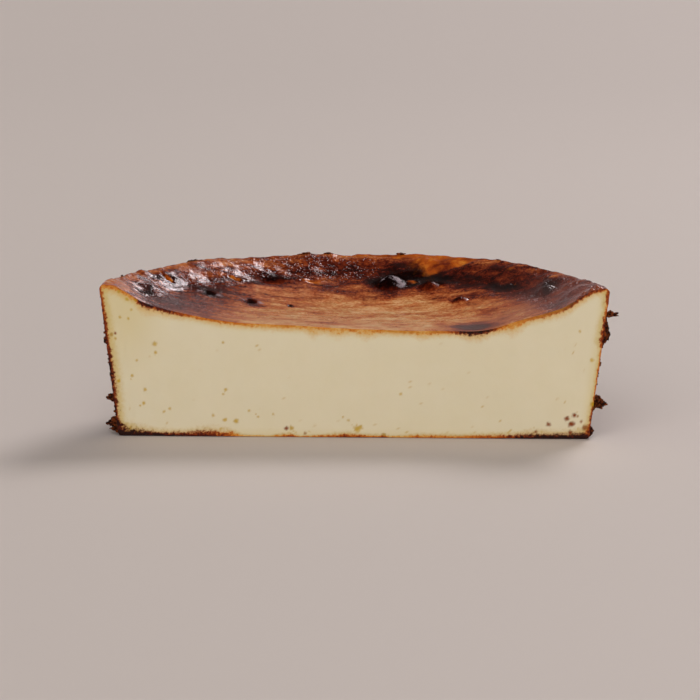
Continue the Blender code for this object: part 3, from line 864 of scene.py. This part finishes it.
def linear(hexColour):
    channels = [int(hexColour[at:at + 2], 16) / 255.0 for at in (1, 3, 5)]
    return tuple(c / 12.92 if c <= 0.04045 else ((c + 0.055) / 1.055) ** 2.4 for c in channels) + (1.0,)


def addNode(tree, kind, inputs=None, stops=None, **settings):
    node = tree.nodes.new(kind)
    for name, value in settings.items():
        setattr(node, name, value)
    for name, value in (inputs or {}).items():
        if isinstance(value, bpy.types.NodeSocket):
            tree.links.new(value, node.inputs[name])
        else:
            node.inputs[name].default_value = value
    for number, (place, colour) in enumerate(stops or ()):
        element = node.color_ramp.elements[number] if number < 2 else node.color_ramp.elements.new(place)
        element.position = place
        element.color = linear(colour)
    return node


def newMaterial(name):
    material = bpy.data.materials.new(name)
    material.use_nodes = True
    tree = material.node_tree
    shader = tree.nodes["Principled BSDF"]
    place = addNode(tree, "ShaderNodeTexCoord").outputs["Object"]
    millimetres = addNode(tree, "ShaderNodeMapping", {
        "Vector": place,
        "Location": (-1000.0 * cake["axisX"], -1000.0 * cake["cutY"], 0.0),
        "Scale": (1000.0, 1000.0, 1000.0),
    }).outputs["Vector"]
    return material, tree, shader, millimetres


skinLook = {
    # size in millimetres, detail, roughness, distortion
    "patterns": {
        "mottle": (8.0, 9.0, 0.66, 0.4), "streak": (1.0, 7.0, 0.60, 0.0), "speck": (1.5, 4.0, 0.65, 0.0),
        "blush": (6.0, 6.0, 0.60, 0.6), "ripple": (2.6, 3.0, 0.55, 0.0), "crinkle": (1.15, 2.0, 0.55, 0.8),
        "grain": (0.8, 2.0, 0.60, 0.0), "pleat": (1.0, 3.0, 0.60, 0.4),
    },
    # patterns that run along the skin: turned by how many degrees, millimetres along x, y and z
    "stretched": {"streak": (0.0, (14.0, 4.6, 4.0)), "pleat": (-18.0, (1.4, 7.0, 4.0))},
    "shares": {"mottle": 0.72, "streak": 0.95, "speck": 0.75},
    "calmHaze": 0.25, "calmFold": 0.45,
    "ramp": (
        (0.00, "#e4b884"), (1.00, "#100403"), (0.13, "#d4985e"), (0.23, "#c67e47"), (0.34, "#b26230"),
        (0.46, "#8d411c"), (0.58, "#66240f"), (0.72, "#431207"), (0.86, "#260a05"),
    ),
    "redTint": ((0.36, "#ffe2d4"), (0.62, "#ffffff")),
    "amberRamp": ((0.34, "#6a2107"), (0.80, "#ee9f36"), (0.54, "#b9540e")),
    # pale mauve of the painted reflection on the blisters and beside the pits
    "paintedReflectionColour": "#b9a5ab",
    # greyish mauve of the painted sheen of the backdrop on the flat skin
    "hazeAndSheen": "#b08a84",
    # ragged edges of the amber and of the painted reflection: the pattern's share, then from, to and how
    # much
    "amberEdge": (1.1, 0.72, 1.45, 1.0), "paintedReflectionEdge": (1.6, 1.18, 1.55, 0.60),
    # how much of the painted sheen goes into the colour
    "paintedSheenShare": 0.20,
    "wetMottle": 0.8, "wetEdge": (0.55, 1.25),
    "dryRoughness": 0.27, "wetRoughness": 0.13, "hazeRoughness": 0.08,
    "beadSize": 2.0, "beadReach": 0.28,
    # heights of the relief in metres
    "ripple": 0.00010, "crinkle": 0.00025, "bead": 0.00026, "grain": 0.00011, "pleat": 0.00065,
}


def bakedSkin(name, gloss):
    # Browned custard skin: caramel colours under a thin wet film, dry and duller where it burnt on the side,
    # with painted reflection and painted sheen mixed into the colour.
    material, tree, shader, place = newMaterial(name)
    look = skinLook
    burn, amber, wet, hazeAndSheen, fold, paintedReflection = (
        addNode(tree, "ShaderNodeAttribute", attribute_name=layer).outputs["Fac"]
        for layer in ("burn", "amber", "wet", "hazeAndSheen", "fold", "paintedReflection")
    )
    places = {}
    for pattern, (turn, sizes) in look["stretched"].items():
        places[pattern] = addNode(tree, "ShaderNodeMapping", {
            "Vector": place, "Rotation": (0.0, 0.0, math.radians(turn)),
            "Scale": [1.0 / size for size in sizes],
        }).outputs["Vector"]
    patterns = {}
    for pattern, (size, detail, roughness, distortion) in look["patterns"].items():
        patterns[pattern] = addNode(tree, "ShaderNodeTexNoise", {
            "Vector": places.get(pattern, place), "Scale": 1.0 / size, "Detail": detail,
            "Roughness": roughness, "Distortion": distortion,
        }, noise_type="RIDGED_MULTIFRACTAL" if pattern == "crinkle" else "FBM").outputs
    mottle = patterns["mottle"]["Fac"]
    lively = 1.0
    for layer, calm in ((hazeAndSheen, look["calmHaze"]), (fold, look["calmFold"])):
        lively = addNode(tree, "ShaderNodeMath", {0: layer, 1: -calm, 2: lively},
                         operation="MULTIPLY_ADD").outputs[0]
    total = 0.0
    for pattern, share in look["shares"].items():
        total = addNode(tree, "ShaderNodeMath", {0: patterns[pattern]["Fac"], 1: share, 2: total},
                        operation="MULTIPLY_ADD").outputs[0]
    middle = 0.5 * sum(look["shares"].values())
    total = addNode(tree, "ShaderNodeMath", {0: total, 1: middle}, operation="SUBTRACT").outputs[0]
    total = addNode(tree, "ShaderNodeMath", {0: total, 1: lively, 2: burn},
                    operation="MULTIPLY_ADD").outputs[0]
    colour = addNode(tree, "ShaderNodeValToRGB", {"Fac": total}, stops=look["ramp"]).outputs["Color"]
    blush = addNode(tree, "ShaderNodeSeparateColor", {"Color": patterns["blush"]["Color"]})
    tint = addNode(tree, "ShaderNodeValToRGB", {"Fac": blush.outputs["Green"]}, stops=look["redTint"])
    colour = addNode(tree, "ShaderNodeMix", {0: 1.0, 6: colour, 7: tint.outputs["Color"]}, data_type="RGBA",
                     blend_type="MULTIPLY").outputs[2]
    amberColour = addNode(tree, "ShaderNodeValToRGB", {"Fac": mottle}, stops=look["amberRamp"])
    coats = []
    for layer, pattern, edge, coat in (
        (amber, "mottle", look["amberEdge"], amberColour.outputs["Color"]),
        # the painted reflection is mixed into the colour here
        (paintedReflection, "speck", look["paintedReflectionEdge"], linear(look["paintedReflectionColour"])),
    ):
        share, start, end, most = edge
        ragged = addNode(tree, "ShaderNodeMath", {0: patterns[pattern]["Fac"], 1: share, 2: layer},
                         operation="MULTIPLY_ADD").outputs[0]
        amount = addNode(tree, "ShaderNodeMapRange", {
            "Value": ragged, "From Min": start, "From Max": end, "To Max": most,
        }, interpolation_type="SMOOTHSTEP").outputs["Result"]
        coats.append((amount, coat))
    # the painted sheen of the backdrop is mixed into the colour where the skin is hazy
    paintedSheen = addNode(tree, "ShaderNodeMath", {0: hazeAndSheen, 1: look["paintedSheenShare"]}, operation="MULTIPLY").outputs[0]
    for amount, coat in coats + [(paintedSheen, linear(look["hazeAndSheen"]))]:
        colour = addNode(tree, "ShaderNodeMix", {0: amount, 6: colour, 7: coat}, data_type="RGBA").outputs[2]
    tree.links.new(colour, shader.inputs["Base Color"])
    wetness = addNode(tree, "ShaderNodeMath", {0: mottle, 1: look["wetMottle"], 2: wet},
                      operation="MULTIPLY_ADD").outputs[0]
    roughness = addNode(tree, "ShaderNodeMapRange", {
        "Value": wetness, "From Min": look["wetEdge"][0], "From Max": look["wetEdge"][1],
        "To Min": look["dryRoughness"], "To Max": look["wetRoughness"],
    }).outputs["Result"]
    roughness = addNode(tree, "ShaderNodeMath", {0: hazeAndSheen, 1: look["hazeRoughness"], 2: roughness},
                        operation="MULTIPLY_ADD").outputs[0]
    tree.links.new(roughness, shader.inputs["Roughness"])
    cells = addNode(tree, "ShaderNodeTexVoronoi", {"Vector": place, "Scale": 1.0 / look["beadSize"]})
    bead = addNode(tree, "ShaderNodeMapRange", {
        "Value": cells.outputs["Distance"], "From Max": look["beadReach"], "To Min": 1.0, "To Max": 0.0,
    }, interpolation_type="SMOOTHSTEP").outputs["Result"]
    relief = {}
    strengths = {"ripple": 1.0, "crinkle": wet, "bead": wet, "grain": 0.6, "pleat": fold}
    for pattern, strength in strengths.items():
        height = bead if pattern == "bead" else patterns[pattern]["Fac"]
        relief = {"Normal": addNode(tree, "ShaderNodeBump", {
            "Height": height, "Strength": strength, "Distance": look[pattern], **relief,
        }).outputs["Normal"]}
    tree.links.new(relief["Normal"], shader.inputs["Normal"])
    shader.inputs["IOR"].default_value = 1.45
    shader.inputs["Specular IOR Level"].default_value = gloss
    return material


custardLook = {
    # size in millimetres, detail, roughness of the clouds, of the crust's ragged lines and of the curd
    "patterns": ((14.0, 8.0, 0.60), (1.5, 4.0, 0.62), (0.9, 6.0, 0.70)),
    "cream": "#ece0c1",
    "creamDeep": "#e5d8b3",
    "mellow": "#dcc88c",
    "skinHalo": "#dcae5e",
    "sideHalo": "#d2b468",
    "baseHalo": "#d0b068",
    "pore": "#c8a020",
    "smear": "#c8842c",
    "scorch": "#84380c",
    "crustRamp": (
        (0.00, "#e2b674"), (1.00, "#240803"), (0.16, "#dca04c"), (0.33, "#d07c26"), (0.50, "#b05412"),
        (0.66, "#863206"), (0.82, "#561603"),
    ),
    # how far each line wanders and how far its halo reaches, in its own thickness
    "crusts": {"skin": (2.2, 3.0), "side": (2.4, 3.2), "base": (2.0, 2.4)},
    "lineEdge": (0.60, 1.30), "halo": 0.75,
    "grains": 0.8,  # darker grains in the crust
    "mellowing": 0.45,  # how much paler the crust gets towards the custard
    "curd": 0.0002, "curdStrength": 0.4,
}


def cutCustard():
    # Baked cream cheese custard cut with a clean knife: pale, satin and faintly translucent,
    # with the browned crust as thin ragged lines round it.
    material, tree, shader, place = newMaterial("cutCustard")
    look, grains = custardLook, custardLook["grains"]
    names = ["mellow", "pore", "smear", "scorch"]
    names += [crust + part for crust in look["crusts"] for part in ("Share", "Burnt")]
    layers = {name: addNode(tree, "ShaderNodeAttribute", attribute_name=name).outputs["Fac"]
              for name in names}
    cloud, ragged, curd = (
        addNode(tree, "ShaderNodeTexNoise", {
            "Vector": place, "Scale": 1.0 / size, "Detail": detail, "Roughness": roughness,
        }).outputs["Fac"]
        for size, detail, roughness in look["patterns"]
    )
    coats = [(cloud, linear(look["creamDeep"])), (layers["mellow"], linear(look["mellow"]))]
    lineStart, lineEnd = look["lineEdge"]
    crusts = []
    for name, (wander, reach) in look["crusts"].items():
        share = addNode(tree, "ShaderNodeMath", {0: ragged, 1: -wander, 2: layers[name + "Share"]},
                        operation="MULTIPLY_ADD").outputs[0]
        share = addNode(tree, "ShaderNodeMath", {0: share, 1: 0.5 * wander}, operation="ADD").outputs[0]
        halo, line = (
            addNode(tree, "ShaderNodeMapRange", {
                "Value": share, "From Min": lineStart, "From Max": end, "To Min": most, "To Max": 0.0,
            }, interpolation_type="SMOOTHSTEP").outputs["Result"]
            for end, most in ((reach, look["halo"]), (lineEnd, 1.0))
        )
        coats.append((halo, linear(look[name + "Halo"])))
        burnt = addNode(tree, "ShaderNodeMath", {0: share, 1: -look["mellowing"], 2: 1.0},
                        operation="MULTIPLY_ADD").outputs[0]
        burnt = addNode(tree, "ShaderNodeMath", {0: burnt, 1: layers[name + "Burnt"]},
                        operation="MULTIPLY").outputs[0]
        burnt = addNode(tree, "ShaderNodeMath", {0: ragged, 1: grains, 2: burnt},
                        operation="MULTIPLY_ADD").outputs[0]
        burnt = addNode(tree, "ShaderNodeMath", {0: burnt, 1: 0.5 * grains}, operation="SUBTRACT").outputs[0]
        crust = addNode(tree, "ShaderNodeValToRGB", {"Fac": burnt}, stops=look["crustRamp"]).outputs["Color"]
        crusts.append((line, crust))
    coats += crusts + [(layers[name], linear(look[name])) for name in ("pore", "smear", "scorch")]
    colour = linear(look["cream"])
    for amount, coat in coats:
        colour = addNode(tree, "ShaderNodeMix", {0: amount, 6: colour, 7: coat}, data_type="RGBA").outputs[2]
    tree.links.new(colour, shader.inputs["Base Color"])
    bump = addNode(tree, "ShaderNodeBump", {
        "Height": curd, "Strength": look["curdStrength"], "Distance": look["curd"],
    })
    tree.links.new(bump.outputs["Normal"], shader.inputs["Normal"])
    shader.inputs["Roughness"].default_value = 0.48
    shader.inputs["IOR"].default_value = 1.42
    shader.inputs["Specular IOR Level"].default_value = 0.35
    shader.inputs["Subsurface Weight"].default_value = 0.10
    shader.inputs["Subsurface Radius"].default_value = (1.0, 0.75, 0.45)
    shader.inputs["Subsurface Scale"].default_value = 0.0015
    return material


crustLook = {
    "pattern": (1.5, 5.0, 0.7),  # size in millimetres, detail, roughness
    "stops": (0.46, 0.66),
    "relief": 0.0004, "strength": 0.7,
    "roughness": 0.62, "specular": 0.15,
}


def charredCrust(name, dark, light):
    # Crust burnt to carbon at the tin: black brown with redder torn edges, dry and crumbly.
    material, tree, shader, place = newMaterial(name)
    look = crustLook
    size, detail, roughness = look["pattern"]
    mottle = addNode(tree, "ShaderNodeTexNoise", {
        "Vector": place, "Scale": 1.0 / size, "Detail": detail, "Roughness": roughness,
    }).outputs["Fac"]
    stops = tuple(zip(look["stops"], (dark, light)))
    colour = addNode(tree, "ShaderNodeValToRGB", {"Fac": mottle}, stops=stops)
    tree.links.new(colour.outputs["Color"], shader.inputs["Base Color"])
    bump = addNode(tree, "ShaderNodeBump", {
        "Height": mottle, "Strength": look["strength"], "Distance": look["relief"],
    })
    tree.links.new(bump.outputs["Normal"], shader.inputs["Normal"])
    shader.inputs["Roughness"].default_value = look["roughness"]
    shader.inputs["Specular IOR Level"].default_value = look["specular"]
    return material


studio = {
    "floorColour": "#cec1b9",
    "floorSize": 14.0,
    "floorPlace": (0.0, 2.0, -0.0002),
    "floorRoughness": 0.7,
    "target": (0.0, 0.0, 0.04),
    "sunDistance": 3.0,
    "horizonColour": "#ccbec1",
    "sheenColour": "#fff0f3",
    "zenithColour": "#343434",
    "horizonEnds": 0.42,
}


def makeFloor():
    bm = bmesh.new()
    bmesh.ops.create_grid(bm, x_segments=1, y_segments=1, size=0.5 * studio["floorSize"])
    bmesh.ops.translate(bm, verts=bm.verts, vec=studio["floorPlace"])
    data = bpy.data.meshes.new("floor")
    bm.to_mesh(data)
    bm.free()
    floor = bpy.data.objects.new("floor", data)
    bpy.context.scene.collection.objects.link(floor)
    material = bpy.data.materials.new("paleFloor")
    material.use_nodes = True
    shader = material.node_tree.nodes["Principled BSDF"]
    shader.inputs["Base Color"].default_value = linear(studio["floorColour"])
    shader.inputs["Roughness"].default_value = studio["floorRoughness"]
    data.materials.append(material)


# Broad even light: name, azimuth from the right and height in degrees, how wide it is, strength,
# and whether it lights the body of a thing or only shows in its gloss.
suns = (
    ("key", 58.0, 40.0, 22.0, 1.50, "body"),
    ("sheen", 63.0, 34.0, 24.0, 1.20, "gloss"),
    ("overhead", 250.0, 80.0, 80.0, 0.50, "body"),
    ("front", 255.0, 34.0, 60.0, 1.50, "body"),
)
# Softboxes that give the wet skin its glints: name, azimuth, height, distance, width, height, power in watts
softboxes = (
    ("glints", 66.0, 42.0, 1.60, 0.30, 0.16, 0.8),
)


def makeLights():
    target = Vector(studio["target"])
    for name, azimuth, elevation, spread, strength, use in suns:
        light = bpy.data.lights.new(name, "SUN")
        light.angle, light.energy = math.radians(spread), strength
        if use == "gloss":
            light.color = linear(studio["sheenColour"])[:3]
        lamp = addLamp(name, light, target, azimuth, elevation, studio["sunDistance"])
        lamp.visible_glossy, lamp.visible_diffuse = use == "gloss", use == "body"
    for name, azimuth, elevation, distance, width, height, power in softboxes:
        light = bpy.data.lights.new(name, "AREA")
        light.shape = "RECTANGLE"
        light.size, light.size_y, light.energy = width, height, power
        addLamp(name, light, target, azimuth, elevation, distance)
    world = bpy.data.worlds.new("studio")
    world.use_nodes = True
    # Light from behind is brightest low down, like a pale backdrop.
    tree = world.node_tree
    place = addNode(tree, "ShaderNodeTexCoord").outputs["Generated"]
    upwards = addNode(tree, "ShaderNodeSeparateXYZ", {"Vector": place}).outputs["Z"]
    upwards = addNode(tree, "ShaderNodeMapRange", {
        "Value": upwards, "From Min": 0.0, "From Max": studio["horizonEnds"],
    }, interpolation_type="SMOOTHSTEP").outputs["Result"]
    shade = addNode(tree, "ShaderNodeMix", {
        0: upwards, 6: linear(studio["horizonColour"]), 7: linear(studio["zenithColour"]),
    }, data_type="RGBA")
    tree.links.new(shade.outputs[2], tree.nodes["Background"].inputs["Color"])
    bpy.context.scene.world = world


def addLamp(name, light, target, azimuth, elevation, distance):
    turn, lift = math.radians(azimuth), math.radians(elevation)
    away = Vector((math.cos(turn) * math.cos(lift), math.sin(turn) * math.cos(lift), math.sin(lift)))
    lamp = bpy.data.objects.new(name, light)
    lamp.location = target + distance * away
    lamp.rotation_euler = (-away).to_track_quat("-Z", "Y").to_euler()
    bpy.context.scene.collection.objects.link(lamp)
    return lamp


# Where the picture was taken from: metres from the cake's axis on the cut, and degrees
viewpoint = {
    "right": 0.0017, "back": 1.0168, "up": 0.2335,
    "pitch": 10.841, "yaw": 0.196, "roll": 0.382,
    "lens": 122.74, "sensor": 36.0,
}


def makeCamera():
    data = bpy.data.cameras.new("camera")
    data.lens, data.sensor_width = viewpoint["lens"], viewpoint["sensor"]
    camera = bpy.data.objects.new("camera", data)
    turned = Matrix.Rotation(math.radians(viewpoint["yaw"]), 4, "Z")
    turned = turned @ Matrix.Rotation(math.radians(90.0 - viewpoint["pitch"]), 4, "X")
    turned = turned @ Matrix.Rotation(math.radians(viewpoint["roll"]), 4, "Z")
    camera.matrix_world = turned
    camera.location = (cake["axisX"] + viewpoint["right"], cake["cutY"] - viewpoint["back"], viewpoint["up"])
    bpy.context.scene.collection.objects.link(camera)
    bpy.context.scene.camera = camera


bpy.context.scene.view_settings.view_transform = "Standard"
makeCamera()
makeLights()
makeFloor()
print("camera, lights and floor are in place")

cakePiece = makeCake()
cakePiece.data.materials.append(bakedSkin("bakedSkin", 0.50))
cakePiece.data.materials.append(cutCustard())
cakePiece.data.materials.append(bakedSkin("charredSkin", 0.03))
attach(cakePiece, "root")
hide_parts("cheesecake")
print("cake:", len(cakePiece.data.polygons), "faces")

flakes = makeFlakes()
flakes.data.materials.append(charredCrust("charredCrust", "#1a0804", "#96481f"))
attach(flakes, "root")
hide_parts("cheesecake")
print("burnt flakes:", len(flakes.data.polygons), "faces")

crumbs = makeCrumbs()
crumbs.data.materials.append(charredCrust("toastedCrumb", "#2a1008", "#a05a24"))
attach(crumbs, "root")
print("crumbs:", len(crumbs.data.polygons), "faces")
